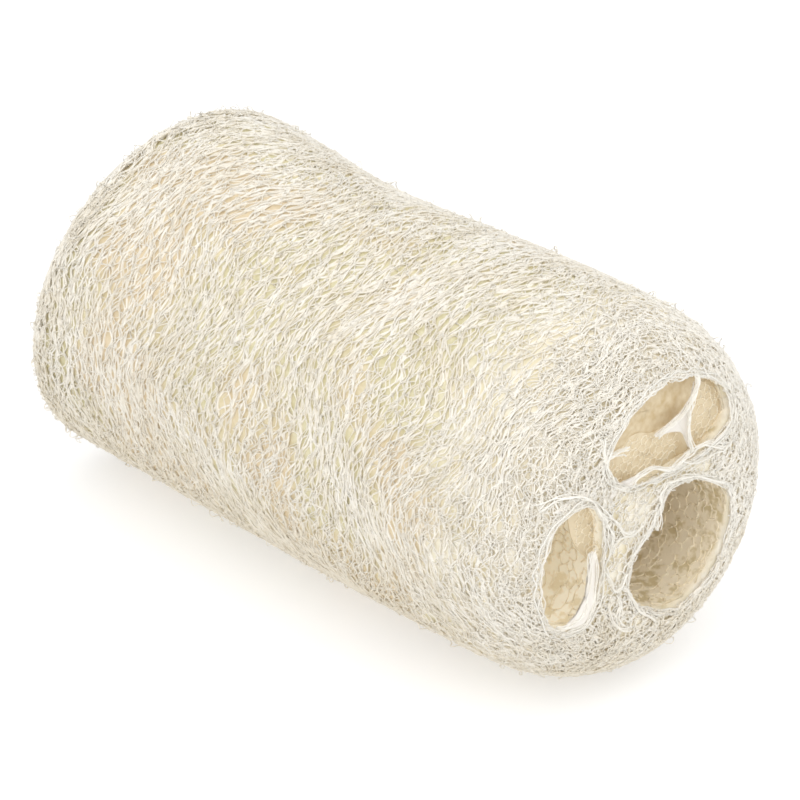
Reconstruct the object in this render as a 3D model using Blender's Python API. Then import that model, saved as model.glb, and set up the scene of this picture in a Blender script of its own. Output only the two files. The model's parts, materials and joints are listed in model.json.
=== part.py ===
"""Natural loofah sponge: the dried fibre skeleton of one gourd, cut square at both ends.

It grew as one piece, so it is one solid: a blunt cylinder lying on its side along X, with the cut end
that shows its three seed channels at +X. The underside is pressed flat where it lies on a table.
"""

import math

import bmesh
import bpy
from mathutils import Vector

# Driving dimensions, in metres.
LENGTH = 0.132
BODY_RADIUS = 0.0366
FLAT_DEPTH = 0.0009  # how much of the round underside lying flat takes away
CENTRE_HEIGHT = BODY_RADIUS - FLAT_DEPTH

# The rounded rims: how far along the body each starts, and how far in it brings the skin.
NEAR_RIM_LENGTH = 0.022
NEAR_RIM_DEPTH = 0.013
FAR_RIM_LENGTH = 0.004
FAR_RIM_DEPTH = 0.004
DISH_SHARE = 0.4  # the sunk middle of a cut end, against the flat rim round it
DISH_DEPTH = 0.001  # the middle of the cut end sinks in behind its rim
FAR_CUT_LEAN = 0.15  # the far cut leans: its foot reaches further out than its top

# Slow changes along and around the body.
END_TAPER = 0.0008  # radius lost from the middle of the body to each end
SHOULDER = {"height": 0.0012, "x": -0.053, "turn": math.radians(52), "length": 0.0205, "spread": 1.15}
WAIST = {"height": -0.0026, "x": -0.020, "turn": math.radians(56), "length": 0.034, "spread": 0.92}

# Each seed channel's outline across the body, in millimetres right of and above the body's centre line.
CHANNELS = {
    "upper_channel": [
        (-13.5, 18), (-8, 23.5), (0, 26.5), (9, 25.5), (17, 20.5),
        (18, 14), (12.5, 10), (2, 9), (-7, 10), (-12, 13.5),
    ],
    "left_channel": [
        (-27, -7), (-27.5, 0), (-25.5, 8), (-20, 11), (-15, 8),
        (-13.5, 0), (-15.5, -9.5), (-19, -13.5), (-24, -13),
    ],
    "right_channel": [
        (3.5, 4), (10, 4.2), (17, 0.5), (19.5, -5), (16, -15),
        (8, -20), (0, -18.5), (-6, -13), (-5, -6), (0, -1.5),
    ],
}
CHANNEL_SAMPLES = 30
CHANNEL_STATIONS = 8
CHANNEL_OVERRUN = 0.008
NARROWING = 0.88  # a channel's width half way along, against its width at a cut end

AROUND = 60
BODY_STATIONS = 22
RIM_STATIONS = 5
MM = 0.001

SPONGE_COLOUR = (0.79, 0.72, 0.58, 1.0)


def clear_scene():
    for old in list(bpy.data.objects):
        bpy.data.objects.remove(old)


def sponge_material():
    material = bpy.data.materials.new("dried_fibre")
    material.use_nodes = True
    shader = material.node_tree.nodes["Principled BSDF"]
    shader.inputs["Base Color"].default_value = SPONGE_COLOUR
    shader.inputs["Roughness"].default_value = 0.75
    shader.inputs["Metallic"].default_value = 0.0
    return material


def swelling(form, x, turn):
    """A smooth rise or hollow in the skin, in metres, centred at form's place along and round the body."""
    along = (x - form["x"]) / form["length"]
    around = math.remainder(turn - form["turn"], 2 * math.pi) / form["spread"]
    return form["height"] * math.exp(-(along**2) - around**2)


def skin_radius(x, turn):
    """Distance from the centre line to the skin, before the rims round it in."""
    taper = END_TAPER * abs(x) / (LENGTH / 2)
    return BODY_RADIUS - taper + swelling(SHOULDER, x, turn) + swelling(WAIST, x, turn)


def rim_inset(x):
    """How far the rounded rims bring the skin in at x: each is a quarter of an ellipse."""
    to_near = LENGTH / 2 - x
    to_far = x + LENGTH / 2
    inset = 0.0
    if to_near < NEAR_RIM_LENGTH:
        inset += NEAR_RIM_DEPTH * (1 - math.sqrt(max(1 - (1 - to_near / NEAR_RIM_LENGTH) ** 2, 0)))
    if to_far < FAR_RIM_LENGTH:
        inset += FAR_RIM_DEPTH * (1 - math.sqrt(max(1 - (1 - to_far / FAR_RIM_LENGTH) ** 2, 0)))
    return inset


def body_point(x, turn, share=1.0, sink=0.0):
    """A point at x and turn, share of the way out from the centre line, sink behind the cut end.

    The far cut leans, so points near it slide along X by their height."""
    radius = (skin_radius(x, turn) - rim_inset(x)) * share
    y = radius * math.cos(turn)
    z = radius * math.sin(turn)
    lean = -FAR_CUT_LEAN * z * max(-x / (LENGTH / 2), 0) ** 3
    return Vector((x - lean - sink, y, max(z + CENTRE_HEIGHT, 0.0)))


def stations():
    """Places along X of the skin's rings, closer together where the rims curve."""
    far, near = -LENGTH / 2, LENGTH / 2
    arc = [1 - math.cos(math.pi / 2 * k / RIM_STATIONS) for k in range(RIM_STATIONS)]
    far_rim = [far + FAR_RIM_LENGTH * a for a in arc]
    near_rim = [near - NEAR_RIM_LENGTH * a for a in reversed(arc)]
    start, end = far + FAR_RIM_LENGTH, near - NEAR_RIM_LENGTH
    middle = [start + (end - start) * k / BODY_STATIONS for k in range(BODY_STATIONS + 1)]
    return far_rim + middle + near_rim


def make_body():
    """The whole outside: skin rings bridged end to end, then a dished cut at each end."""
    mesh = bmesh.new()
    turns = [2 * math.pi * (k + 0.5) / AROUND for k in range(AROUND)]
    far_dish = [(-LENGTH / 2, DISH_SHARE, -DISH_DEPTH)]
    near_dish = [(LENGTH / 2, DISH_SHARE, DISH_DEPTH)]
    sections = far_dish + [(x, 1.0, 0.0) for x in stations()] + near_dish
    rings = []
    for x, share, sink in sections:
        rings.append([mesh.verts.new(body_point(x, turn, share, sink)) for turn in turns])
    for ring, following in zip(rings, rings[1:]):
        for k in range(AROUND):
            after = (k + 1) % AROUND
            mesh.faces.new((ring[k], ring[after], following[after], following[k]))
    for ring, x, sink in ((rings[0], -LENGTH / 2, -DISH_DEPTH), (rings[-1], LENGTH / 2, DISH_DEPTH)):
        middle = mesh.verts.new(Vector((x - sink, 0, CENTRE_HEIGHT)))
        for k in range(AROUND):
            mesh.faces.new((ring[k], ring[(k + 1) % AROUND], middle))
    bmesh.ops.recalc_face_normals(mesh, faces=mesh.faces)
    return object_from(mesh, "loofah_sponge")


def object_from(mesh, name):
    data = bpy.data.meshes.new(name)
    mesh.to_mesh(data)
    mesh.free()
    made = bpy.data.objects.new(name, data)
    bpy.context.scene.collection.objects.link(made)
    return made


def smooth_outline(corners):
    """CHANNEL_SAMPLES points on a closed Catmull-Rom curve through the corners, in metres."""
    points = [Vector(corner) * MM for corner in corners]
    count = len(points)
    outline = []
    for k in range(CHANNEL_SAMPLES):
        at = count * k / CHANNEL_SAMPLES
        i, t = int(at), at - int(at)
        a, b, c, d = (points[(i + j) % count] for j in (-1, 0, 1, 2))
        curve = 2 * b + (c - a) * t + (2 * a - 5 * b + 4 * c - d) * t**2 + (3 * b - a - 3 * c + d) * t**3
        outline.append(curve / 2)
    return outline


def channel_width(x):
    """Scale of a channel's outline at x: narrowest half way along the body."""
    share = min(abs(x) / (LENGTH / 2), 1.0)
    return NARROWING + (1 - NARROWING) * share**2


def make_channel(name, corners):
    """A closed tube the shape of one seed channel, reaching past both cut ends, to cut the body with."""
    outline = smooth_outline(corners)
    middle = sum(outline, Vector((0, 0))) / len(outline)
    reach = LENGTH / 2 + CHANNEL_OVERRUN
    places = [reach * (2 * k / CHANNEL_STATIONS - 1) for k in range(CHANNEL_STATIONS + 1)]
    mesh = bmesh.new()
    rings = []
    for x in places:
        width = channel_width(x)
        section = [middle + (point - middle) * width for point in outline]
        rings.append([mesh.verts.new((x, p.x, p.y + CENTRE_HEIGHT)) for p in section])
    for ring, following in zip(rings, rings[1:]):
        for k in range(CHANNEL_SAMPLES):
            after = (k + 1) % CHANNEL_SAMPLES
            mesh.faces.new((ring[k], ring[after], following[after], following[k]))
    mesh.faces.new(rings[0])
    mesh.faces.new(rings[-1])
    bmesh.ops.recalc_face_normals(mesh, faces=mesh.faces)
    cutter = object_from(mesh, name)
    cutter.hide_render = True
    cutter.display_type = "WIRE"
    return cutter


def cut(body, cutter):
    cutter.parent = body
    hole = body.modifiers.new(cutter.name, "BOOLEAN")
    hole.operation = "DIFFERENCE"
    hole.solver = "EXACT"
    hole.object = cutter


def stand_on_origin(body):
    """Move the body, and the cutters parented to it, so that its bounding box is centred over the origin."""
    for axis in (0, 1):
        reach = [vertex.co[axis] for vertex in body.data.vertices]
        body.location[axis] = -(min(reach) + max(reach)) / 2


def main():
    clear_scene()
    sponge = make_body()
    sponge.data.materials.append(sponge_material())
    sponge.data.shade_smooth()
    for name, corners in CHANNELS.items():
        cut(sponge, make_channel(name, corners))
    stand_on_origin(sponge)


main()
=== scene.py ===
# %% [markdown]
# # A natural loofah sponge
#
# A loofah is the fibre skeleton of a gourd: the flesh is rotted and washed away, and a springy net of
# pale strands is left. This lesson builds that net from real tubes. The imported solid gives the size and
# the place of everything: the strands lie on its skin or a little behind it, and only loose fibres stand
# out of it, by about a millimetre.

# %% Load the fixed frame
import json
import math

import bpy
import numpy as np
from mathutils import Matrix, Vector
from mathutils.bvhtree import BVHTree
from mathutils.geometry import delaunay_2d_cdt


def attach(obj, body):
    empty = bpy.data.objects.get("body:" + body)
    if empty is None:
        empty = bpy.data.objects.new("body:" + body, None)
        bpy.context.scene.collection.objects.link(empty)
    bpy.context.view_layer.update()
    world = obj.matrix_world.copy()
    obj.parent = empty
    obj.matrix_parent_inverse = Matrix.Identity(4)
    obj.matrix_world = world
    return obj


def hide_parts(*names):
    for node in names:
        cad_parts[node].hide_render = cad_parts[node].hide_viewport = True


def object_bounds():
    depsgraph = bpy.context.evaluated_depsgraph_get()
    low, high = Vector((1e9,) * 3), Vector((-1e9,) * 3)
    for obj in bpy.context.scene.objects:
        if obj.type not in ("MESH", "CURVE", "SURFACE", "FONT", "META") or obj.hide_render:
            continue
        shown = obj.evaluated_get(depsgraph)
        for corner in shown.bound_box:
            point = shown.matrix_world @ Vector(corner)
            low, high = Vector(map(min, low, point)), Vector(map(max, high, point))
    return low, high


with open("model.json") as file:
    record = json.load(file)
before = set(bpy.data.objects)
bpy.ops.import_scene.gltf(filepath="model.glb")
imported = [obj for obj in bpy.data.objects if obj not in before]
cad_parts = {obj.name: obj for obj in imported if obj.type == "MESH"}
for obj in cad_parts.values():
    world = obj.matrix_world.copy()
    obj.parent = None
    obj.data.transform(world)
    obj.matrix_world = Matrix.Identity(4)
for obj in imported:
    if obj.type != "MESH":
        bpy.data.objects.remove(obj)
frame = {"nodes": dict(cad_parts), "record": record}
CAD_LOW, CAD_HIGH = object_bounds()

MM = 0.001
print("solid measures", [round(v / MM, 1) for v in CAD_HIGH - CAD_LOW], "mm")

# %% [markdown]
# ## The camera
#
# A product photograph is often taken from far away with a long lens, so that the two ends of a thing look
# nearly the same size. Here the camera stands 0.9 m off, a good way round to the cut end and above it.
# `back` points from the sponge to the camera, and the camera is turned to look the other way along it.

# %% Aim the camera
TURN = math.radians(46.09)  # round from the side, towards the cut end
TILT = math.radians(29.25)  # above the table
DISTANCE = 0.9
LENS_MM = 218.8
SENSOR_MM = 36
AIM = Vector((3.76, -1.58, 35.24)) * MM

back = Vector((math.sin(TURN) * math.cos(TILT), -math.cos(TURN) * math.cos(TILT), math.sin(TILT)))
camera = bpy.data.objects.new("camera", bpy.data.cameras.new("camera"))
camera.data.lens = LENS_MM
camera.data.sensor_width = SENSOR_MM
camera.location = AIM + back * DISTANCE
camera.rotation_euler = (-back).to_track_quat("-Z", "Y").to_euler()
bpy.context.scene.collection.objects.link(camera)
bpy.context.scene.camera = camera
print("camera stands", DISTANCE, "m from its aim, with a", LENS_MM, "mm lens")

# %% [markdown]
# ## Measure the skin
#
# Every strand lies on or just under the skin of the solid, so the skin is measured once, on a grid. Rays
# are shot at it from outside: along the axis at the two cut ends, straight in along the barrel, and in a
# fan round each rim. A ray is given by its foot, which lies inside the sponge, and by its angle.

# %% Choose the rays
SPONGE = frame["nodes"]["loofah_sponge"]
TREE = BVHTree.FromObject(SPONGE, bpy.context.evaluated_depsgraph_get())
AXIS_HEIGHT = (CAD_LOW.z + CAD_HIGH.z) / 2
INNERMOST = 0.5 * MM  # the ray nearest the axis
PIVOT_RADIUS = 22 * MM  # each fan turns about a ring of this radius, behind its rim
FAR_PIVOT = CAD_LOW.x + 20 * MM
NEAR_PIVOT = CAD_HIGH.x - 22 * MM
CUT_RAYS = 14
FAR_FAN_RAYS = 36
BARREL_RAYS = 50
NEAR_FAN_RAYS = 40
OUTSIDE = 80 * MM  # how far from its foot a ray starts
LEAST_FACING = 0.5  # a face turned further from the ray than this is a channel's wall


def meridian_rays():
    """(x, radius, angle) of each ray's foot, from the middle of the far cut to the middle of the near cut.

    The angle is 0 for a ray that comes in along the axis from the near end, and a half turn from the far."""
    radii = np.linspace(INNERMOST, PIVOT_RADIUS, CUT_RAYS)
    rays = [(FAR_PIVOT, radius, math.pi) for radius in radii]
    rays += [(FAR_PIVOT, PIVOT_RADIUS, a) for a in np.linspace(math.pi, math.pi / 2, FAR_FAN_RAYS)]
    rays += [(x, PIVOT_RADIUS, math.pi / 2) for x in np.linspace(FAR_PIVOT, NEAR_PIVOT, BARREL_RAYS)]
    rays += [(NEAR_PIVOT, PIVOT_RADIUS, a) for a in np.linspace(math.pi / 2, 0, NEAR_FAN_RAYS)]
    rays += [(NEAR_PIVOT, radius, 0.0) for radius in radii[::-1]]
    return rays


def shoot(x, radius, angle, turn):
    """How far outside its foot the ray meets the skin, or nan where it passes into a seed channel."""
    outward = Vector((math.cos(angle), math.sin(angle) * math.cos(turn), math.sin(angle) * math.sin(turn)))
    foot = Vector((x, radius * math.cos(turn), radius * math.sin(turn) + AXIS_HEIGHT))
    hit, normal, _, distance = TREE.ray_cast(foot + outward * OUTSIDE, -outward)
    if hit is None or normal.dot(outward) < LEAST_FACING:
        return math.nan
    return OUTSIDE - distance


print(len(meridian_rays()), "rays for each turn round the axis")

# %% [markdown]
# The rays are shot at many turns round the axis, and where a channel lets some of them through, the skin
# is bridged from the turns on both sides. Each line from end to end is then spread evenly, so that a step
# along it is a real length.

# %% Shoot them
TURNS = 180
ROWS = 220


def fill_gaps(reach):
    """Bridge the nan stretches of a ring of distances, going round."""
    known = np.flatnonzero(~np.isnan(reach))
    count = len(reach)
    around = np.concatenate([known - count, known, known + count])
    return np.interp(np.arange(count), around, np.tile(reach[known], 3))


def measure_skin():
    """The skin as a grid of places, and its mean length from the middle of one cut to the other's."""
    turns = np.arange(TURNS) * 2 * math.pi / TURNS
    rings = []
    for x, radius, angle in meridian_rays():
        reach = fill_gaps(np.array([shoot(x, radius, angle, turn) for turn in turns]))
        out = radius + reach * math.sin(angle)
        rings.append(np.stack([x + reach * math.cos(angle), out * np.cos(turns), out * np.sin(turns)], 1))
    rings = np.array(rings)
    rings[:, :, 2] += AXIS_HEIGHT
    steps = np.linalg.norm(np.diff(rings, axis=0), axis=2)
    length = np.concatenate([np.zeros((1, TURNS)), np.cumsum(steps, 0)])
    grid = np.empty((ROWS, TURNS, 3))
    for k in range(TURNS):
        even = np.linspace(0, length[-1, k], ROWS)
        for axis in range(3):
            grid[:, k, axis] = np.interp(even, length[:, k], rings[:, k, axis])
    return grid, length[-1].mean()


SKIN, MERIDIAN = measure_skin()
print("skin runs", round(MERIDIAN / MM, 1), "mm from the middle of one cut to the middle of the other")

# %% [markdown]
# With the grid in hand, any place on the skin is two numbers: `s`, the length along the skin from the
# middle of the far cut, and `t`, the turn round the axis. A depth takes the place straight in from there.

# %% Find places on the skin
TINY = 1e-12  # keeps a division from meeting zero
LAST_STEP = 1.001  # keeps a place on the last row of a grid from needing a row after it


def unit(vectors):
    return vectors / (np.linalg.norm(vectors, axis=-1, keepdims=True) + TINY)


def skin_normals(grid):
    along = np.gradient(grid, axis=0)
    around = np.roll(grid, -1, axis=1) - np.roll(grid, 1, axis=1)
    return unit(np.cross(around, along))


def bilinear(grid, row, column, wrap=False):
    """Read a grid between its points: a weighted mean of the four round each place."""
    row = np.clip(row, 0, grid.shape[0] - LAST_STEP)
    if not wrap:
        column = np.clip(column, 0, grid.shape[1] - LAST_STEP)
    low = row.astype(int)
    left = np.floor(column).astype(int)
    down, over = row - low, column - left
    left = left % grid.shape[1]
    right = (left + 1) % grid.shape[1]
    if grid.ndim == 3:
        down, over = down[..., None], over[..., None]
    top = grid[low, left] * (1 - over) + grid[low, right] * over
    bottom = grid[low + 1, left] * (1 - over) + grid[low + 1, right] * over
    return top * (1 - down) + bottom * down


NORMALS = skin_normals(SKIN)


def on_skin(s, t, depth):
    """Places under the skin at s and t, and the skin's normals there."""
    row = s / MERIDIAN * (ROWS - 1)
    column = t / (2 * math.pi) * TURNS
    normal = unit(bilinear(NORMALS, row, column, wrap=True))
    return bilinear(SKIN, row, column, wrap=True) - normal * depth[..., None], normal


middle_ring = SKIN[ROWS // 2]
outward_share = ((middle_ring - middle_ring.mean(0)) * NORMALS[ROWS // 2]).sum()
print("skin normals point outward:", bool(outward_share > 0))

# %% [markdown]
# ## Measure the seed channels
#
# The seeds sat in three channels that run from end to end. Strands must stop at their mouths, follow their
# edges and line their walls, so each wall is measured too: rays go out sideways from the channel's middle,
# at many places along it. The far cut leans, so its mouths are measured further in than the near ones.

# %% Shoot rays at the channel walls
OPENINGS = [item for item in frame["record"]["physics"]["openings"] if not item["name"].endswith("_side")]
MOUTH_X = {"far": CAD_LOW.x + 15 * MM, "near": CAD_HIGH.x - 5 * MM}
WALL_ROWS = 13
WALL_TURNS = 120
WALL_X = np.linspace(MOUTH_X["far"], MOUTH_X["near"], WALL_ROWS)


def measure_channel(opening):
    low, high = np.array(opening["box_m"])
    middle = (low + high)[1:] / 2
    walls = np.empty((WALL_ROWS, WALL_TURNS))
    for row, x in enumerate(WALL_X):
        for column in range(WALL_TURNS):
            turn = 2 * math.pi * column / WALL_TURNS
            aim = Vector((0, math.cos(turn), math.sin(turn)))
            walls[row, column] = TREE.ray_cast(Vector((x, *middle)), aim)[3]
    return {"middle": middle, "walls": walls}


def wall_place(channel, x, turn, inward):
    """A place on a channel's wall at x, turn round its middle, brought inward from the wall."""
    row = np.interp(x, WALL_X, np.arange(WALL_ROWS))
    radius = bilinear(channel["walls"], row, turn / (2 * math.pi) * WALL_TURNS, wrap=True) - inward
    y = channel["middle"][0] + radius * np.cos(turn)
    z = channel["middle"][1] + radius * np.sin(turn)
    return np.stack([x, y, z], -1)


CHANNELS = {opening["name"]: measure_channel(opening) for opening in OPENINGS}
radii = {name: round(channel["walls"].mean() / MM, 1) for name, channel in CHANNELS.items()}
print("mean radius of each channel, in mm:", radii)

# %% [markdown]
# `clearance` tells how far a place on a cut end is outside the nearest channel. It is worked out once for
# each end, on a square grid, and is negative inside a mouth.

# %% Map the room round the mouths
CLEARANCE_CELL = 0.4 * MM
CLEARANCE_CELLS = 210
MOUTH_SAMPLES = 360


def clearance_grid(mouth_x):
    edge = np.arange(MOUTH_SAMPLES) * 2 * math.pi / MOUTH_SAMPLES
    y = (np.arange(CLEARANCE_CELLS) - CLEARANCE_CELLS / 2) * CLEARANCE_CELL
    z = np.arange(CLEARANCE_CELLS) * CLEARANCE_CELL
    y, z = np.meshgrid(y, z, indexing="ij")
    nearest = np.full(y.shape, math.inf)
    for channel in CHANNELS.values():
        mouth = wall_place(channel, np.full(MOUTH_SAMPLES, mouth_x), edge, 0.0)
        gap = np.hypot(y[..., None] - mouth[:, 1], z[..., None] - mouth[:, 2]).min(-1)
        out = np.hypot(y - channel["middle"][0], z - channel["middle"][1])
        turn = np.arctan2(z - channel["middle"][1], y - channel["middle"][0])
        wall = wall_place(channel, np.full(y.shape, mouth_x), turn, 0.0)
        reach = np.hypot(wall[..., 1] - channel["middle"][0], wall[..., 2] - channel["middle"][1])
        nearest = np.minimum(nearest, np.where(out < reach, -gap, gap))
    return nearest


CLEARANCE = {end: clearance_grid(mouth_x) for end, mouth_x in MOUTH_X.items()}


def clearance(end, y, z):
    return bilinear(CLEARANCE[end], y / CLEARANCE_CELL + CLEARANCE_CELLS / 2, z / CLEARANCE_CELL)


for end, grid in CLEARANCE.items():
    print(f"the {end} mouths cover", round((grid < 0).sum() * (CLEARANCE_CELL / MM) ** 2), "square mm")

# %% [markdown]
# A cut end is easier to draw on as a flat map. The table below gives the height of each end's skin along
# the axis, by distance and turn from the middle of the cut, and `on_end` places a point of the map on it.

# %% Map the cut ends
MAP_STEP_MM = 0.5
MAP_RINGS = 73
RADII = np.arange(MAP_RINGS) * MAP_STEP_MM * MM
END_DEPTH = 23 * MM  # skin further along than this from an end's last point is barrel
SIGN = {"near": 1.0, "far": -1.0}


def end_table(end):
    table = np.empty((MAP_RINGS, TURNS))
    rows = slice(ROWS // 2, ROWS) if end == "near" else slice(0, ROWS // 2)
    for column in range(TURNS):
        x, y, z = SKIN[rows, column].T
        out = np.hypot(y, z - AXIS_HEIGHT)
        order = np.argsort(out)
        rim = np.abs(x) > np.abs(x).max() - END_DEPTH
        table[:, column] = np.interp(RADII, out[order][rim[order]], x[order][rim[order]])
    return table


ENDS = {end: end_table(end) for end in SIGN}


def on_end(end, y, z, depth):
    """A place behind the cut end's skin, depth along the axis, for a place y, z across the sponge."""
    out = np.hypot(y, z - AXIS_HEIGHT)
    turn = np.arctan2(z - AXIS_HEIGHT, y)
    x = bilinear(ENDS[end], out / RADII[1], turn / (2 * math.pi) * TURNS, wrap=True)
    return np.stack([x - SIGN[end] * depth, y, z], -1)


def end_normals(end, lines):
    """Normals along the axis, out of the cut end, for lines drawn on its map."""
    normals = np.zeros(lines.shape)
    normals[..., 0] = SIGN[end]
    return normals


for end, table in ENDS.items():
    print(f"the {end} cut is at x =", round(table[0].mean() / MM, 1), "mm in its middle")

# %% [markdown]
# ## Turn lines into strands
#
# A strand is a thin tube with three sides: at a third of a millimetre nobody sees its corners, and a
# hundred thousand short tubes fit in memory. All the strands of one kind become one mesh, filled straight
# from arrays, because adding half a million faces one at a time would take far longer.

# %% Fill meshes from arrays
RANDOM = np.random.default_rng(20)


def link_mesh(name, vertices, faces, tones):
    """A mesh object from vertices and lists of same-sized faces, with a tone at every vertex."""
    mesh = bpy.data.meshes.new(name)
    mesh.vertices.add(len(vertices))
    mesh.vertices.foreach_set("co", vertices.astype(np.float32).reshape(-1))
    loops = np.concatenate([group.reshape(-1) for group in faces])
    sizes = np.concatenate([np.full(len(group), group.shape[1]) for group in faces])
    mesh.loops.add(len(loops))
    mesh.loops.foreach_set("vertex_index", loops.astype(np.int32))
    mesh.polygons.add(len(sizes))
    mesh.polygons.foreach_set("loop_start", (np.cumsum(sizes) - sizes).astype(np.int32))
    mesh.attributes.new("tone", "FLOAT", "POINT").data.foreach_set("value", tones.astype(np.float32))
    mesh.update(calc_edges=True)
    mesh.shade_smooth()
    piece = bpy.data.objects.new(name, mesh)
    bpy.context.scene.collection.objects.link(piece)
    return piece


def triangles(piece):
    piece.data.calc_loop_triangles()
    return len(piece.data.loop_triangles)


print("meshes are filled from arrays; every vertex has a tone")

# %% [markdown]
# A tube needs a place, a direction and a way up at each step. Its corners stand round the step like the
# spokes of a wheel, neighbouring steps are joined by four-sided faces, and each tube is closed at both
# ends. A tube carries its own `tone`, a random number that the material reads, so that no two strands have
# quite the same colour.

# %% Build tubes
FLOOR_GAP = 0.02 * MM  # no corner comes closer to the table than this


def tube_faces(linked, sides):
    """Faces of the tubes: linked says which steps are joined to the step after them."""
    count, steps = linked.shape
    before = np.roll(linked, 1, 1)
    index = np.arange(count * steps).reshape(count, steps)
    start = index[linked] * sides
    end = np.roll(index, -1, 1)[linked] * sides
    quads = []
    for k in range(sides):
        after = (k + 1) % sides
        quads.append(np.stack([start + k, start + after, end + after, end + k], 1))
    first = index[linked & ~before] * sides
    last = index[~linked & before] * sides
    caps = [first[:, None] + np.arange(sides)[::-1], last[:, None] + np.arange(sides)]
    return np.concatenate(quads), np.concatenate(caps)


def tube_mesh(name, points, normals, radius, keep=None, closed=False, sides=3):
    """One mesh of tubes along the rows of points. keep says which points are real; tubes end beside gaps."""
    count, steps = points.shape[:2]
    if keep is None:
        keep = np.ones((count, steps), bool)
    if closed:
        ahead, behind = np.roll(points, -1, 1), np.roll(points, 1, 1)
    else:
        ahead = np.concatenate([points[:, 1:], points[:, -1:]], 1)
        behind = np.concatenate([points[:, :1], points[:, :-1]], 1)
    tangent = unit(ahead - behind)
    side = unit(np.cross(tangent, normals))
    rise = np.cross(side, tangent)
    wheel = np.arange(sides) * 2 * math.pi / sides
    spokes = np.cos(wheel)[:, None] * rise[:, :, None] + np.sin(wheel)[:, None] * side[:, :, None]
    corners = points[:, :, None] + spokes * radius[:, :, None, None]
    corners[..., 2] = np.maximum(corners[..., 2], FLOOR_GAP)

    linked = keep & np.roll(keep, -1, 1)
    if not closed:
        linked[:, -1] = False
    quads, caps = tube_faces(linked, sides)
    used = np.repeat((linked | np.roll(linked, 1, 1)).reshape(-1), sides)
    renumber = np.cumsum(used) - 1
    tones = np.repeat(RANDOM.uniform(0, 1, count), steps * sides)[used]
    piece = link_mesh(name, corners.reshape(-1, 3)[used], [renumber[quads], renumber[caps]], tones)
    metres = np.linalg.norm(ahead - points, axis=2)[linked].sum()
    print(f"{name}: {count} strands, {metres:.0f} m, {triangles(piece)} triangles")
    return piece


print("strands are tubes with three sides")

# %% [markdown]
# ## Waves
#
# A strand wanders, and it wanders at several sizes at once. Summing waves of random phase gives such a
# wandering line, and whole numbers of waves round the sponge make a hoop that closes on itself.

# %% Make random waves
BARREL_RADIUS_MM = 36
BARREL_RADIUS = BARREL_RADIUS_MM * MM
GIRTH = 2 * math.pi * BARREL_RADIUS_MM * MM


def waves(count, steps, length, bands):
    """count lines of steps values over length. bands lists (amplitude, shortest wave, longest wave)."""
    harmonic = np.arange(steps // 2 + 1)
    shape = (count, len(harmonic))
    total = np.zeros((count, steps))
    for amplitude, shortest, longest in bands:
        inside = (harmonic >= max(length / longest, 1)) & (harmonic <= max(length / shortest, 2))
        spectrum = RANDOM.normal(size=shape) + 1j * RANDOM.normal(size=shape)
        line = np.fft.irfft(spectrum * inside, steps, axis=1)
        total += amplitude * line / line.std(axis=1, keepdims=True)
    return total


print("the sponge is", round(GIRTH / MM), "mm round")

# %% [markdown]
# ## Gaps in the net
#
# The gaps are what make a net of parallel strands. Each gap is a lens-shaped place that pushes the strands
# on its two sides apart, and so presses them against their neighbours, where they seem to merge. The gaps
# are set out like bricks, each moved and sized at random. Their pushes are added up on a grid.

# %% Work out how gaps push strands aside
FIELD_STEP = 0.25 * MM
FIELD_ROWS = int(MERIDIAN / FIELD_STEP)
FIELD_TURNS = int(GIRTH / (0.4 * MM))
ROW_JITTER = 0.45  # of the distance between rows of gaps
COLUMN_JITTER = 0.4  # of the distance between gaps in a row
SIZE_RANGE = (0.6, 1.4)
MOST_LEAN = 0.45  # slope of a gap against the line round the sponge
WEAKEST = 0.3  # the weakest gap pushes with this share of the strongest one's push
WIDTHS_OUT = 2.4  # a gap's push is left out beyond this many half widths
LENGTHS_OUT = 2


def gap_field(row_gap, column_gap, half_width, half_length, push):
    """The sideways push of lens-shaped gaps, on a grid over the skin."""
    field = np.zeros((FIELD_ROWS, FIELD_TURNS))
    columns = round(GIRTH / column_gap)
    cell = GIRTH / FIELD_TURNS
    for row, middle in enumerate(np.arange(0, MERIDIAN, row_gap)):
        for column in range(columns):
            s = middle + RANDOM.uniform(-ROW_JITTER, ROW_JITTER) * row_gap
            shift = RANDOM.uniform(-COLUMN_JITTER, COLUMN_JITTER)
            t = (column + 0.5 * (row % 2) + shift) * GIRTH / columns
            width = half_width * RANDOM.uniform(*SIZE_RANGE)
            length = half_length * RANDOM.uniform(*SIZE_RANGE)
            lean = RANDOM.uniform(-MOST_LEAN, MOST_LEAN)
            low = max(int((s - WIDTHS_OUT * width) / FIELD_STEP), 0)
            high = min(int((s + WIDTHS_OUT * width) / FIELD_STEP) + 1, FIELD_ROWS)
            left = int((t - LENGTHS_OUT * length) / cell)
            right = int((t + LENGTHS_OUT * length) / cell) + 1
            if high <= low:
                continue
            ds = (np.arange(low, high) * FIELD_STEP - s)[:, None]
            dt = (np.arange(left, right) * cell - t)[None, :]
            across = ds - lean * dt
            bump = np.exp(-((across / width) ** 2) - (dt / length) ** 2)
            strength = RANDOM.uniform(WEAKEST, 1) * push
            field[low:high, np.arange(left, right) % FIELD_TURNS] += strength * across * bump
    return field


SMALL_GAPS = gap_field(2.0 * MM, 3.6 * MM, half_width=0.62 * MM, half_length=1.3 * MM, push=1.5)
LARGE_GAPS = gap_field(5.5 * MM, 10.0 * MM, half_width=0.95 * MM, half_length=1.9 * MM, push=1.7)
PUSH = SMALL_GAPS + LARGE_GAPS
print("gaps push strands by up to", round(np.abs(PUSH).max() / MM, 2), "mm")

# %% [markdown]
# Neighbouring strands also lean together, as if the gourd had grown faster in some places than in others.
# Some twenty long waves over the whole skin give that lean. None is shorter along the sponge than 36 mm.

# %% Let neighbours lean together
LEAN_WAVES = 22
MOST_WAVES_ROUND = 7


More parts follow.
